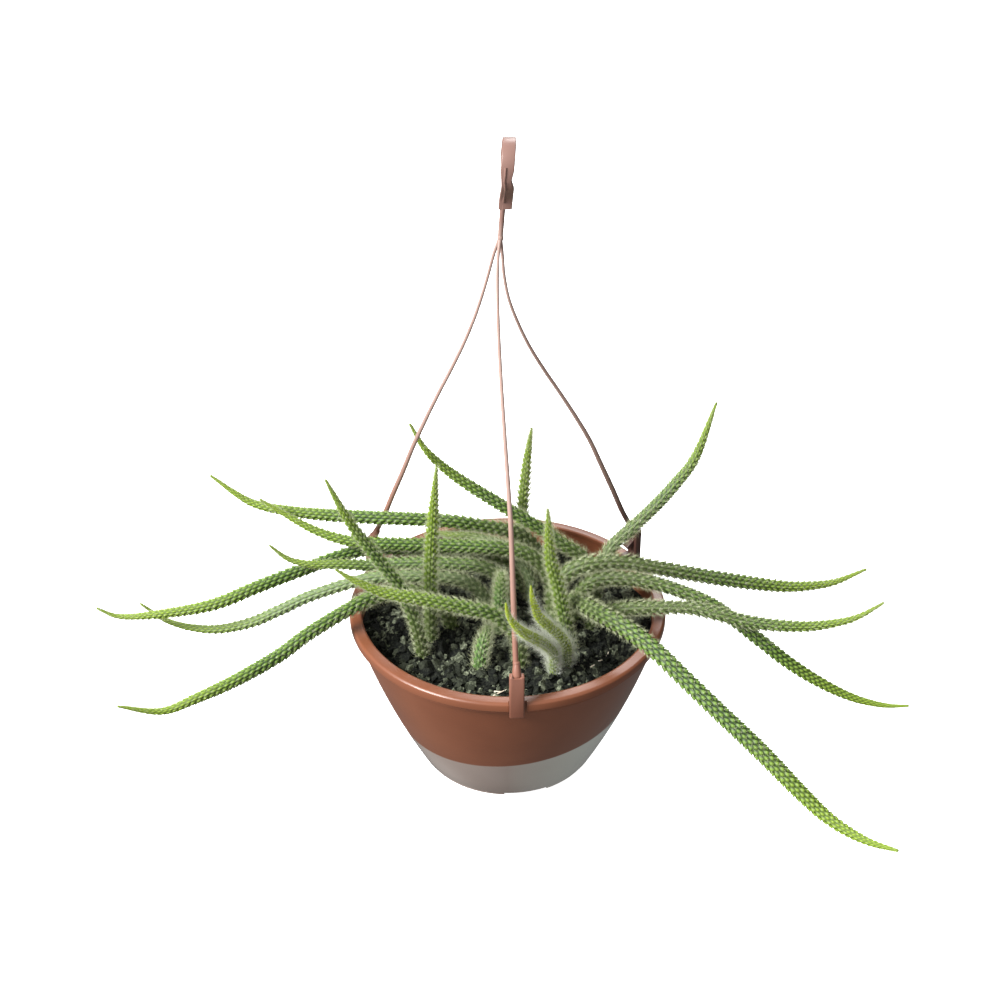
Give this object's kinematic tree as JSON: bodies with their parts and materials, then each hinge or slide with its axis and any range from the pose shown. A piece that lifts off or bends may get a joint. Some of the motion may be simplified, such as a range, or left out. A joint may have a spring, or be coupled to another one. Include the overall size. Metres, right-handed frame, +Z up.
{
  "type": "potted rat tail cactus",
  "caption": "Rat tail cactus with long trailing tubercled stems, growing in a brown plastic hanging bowl with a moulded three-wire hanger.",
  "frame": {"origin": "under the top of the hook's arch, where the hook hangs on a rod or nail, above the bowl's axis", "axes": "+Z up; +X to the right and +Y away from the viewer of the picture"},
  "size_m": [0.536, 0.311, 0.4395],
  "materials": {
    "pot_plastic": "glossy brown injection-moulded plastic",
    "hanger_plastic": "semi-gloss moulded plastic, a little paler than the pot",
    "soil_mix": "loose, dry, dark potting mix with grit",
    "stem_flesh": "matt waxy green skin with pale spines",
    "young_flesh": "fresh yellow-green skin under long white hairs",
    "stub_flesh": "grey-green corky skin under bristles"
  },
  "bodies": {
    "root": {"pot": "pot_plastic", "hanger": "hanger_plastic", "soil": "soil_mix", "stem_01": "stem_flesh", "stem_02": "stem_flesh", "stem_03": "stem_flesh", "stem_04": "stem_flesh", "stem_05": "stem_flesh", "stem_06": "stem_flesh", "stem_07": "stem_flesh", "stem_08": "stem_flesh", "stem_09": "stem_flesh", "stem_10": "stem_flesh", "stem_11": "stem_flesh", "stem_12": "stem_flesh", "stem_13": "stem_flesh", "stem_14": "stem_flesh", "stem_15": "stem_flesh", "stem_16": "stem_flesh", "stem_17": "stem_flesh", "stem_18": "stem_flesh", "young_stem_1": "young_flesh", "young_stem_2": "young_flesh", "stub_1": "stub_flesh", "stub_2": "stub_flesh"}
  },
  "joints": []
}
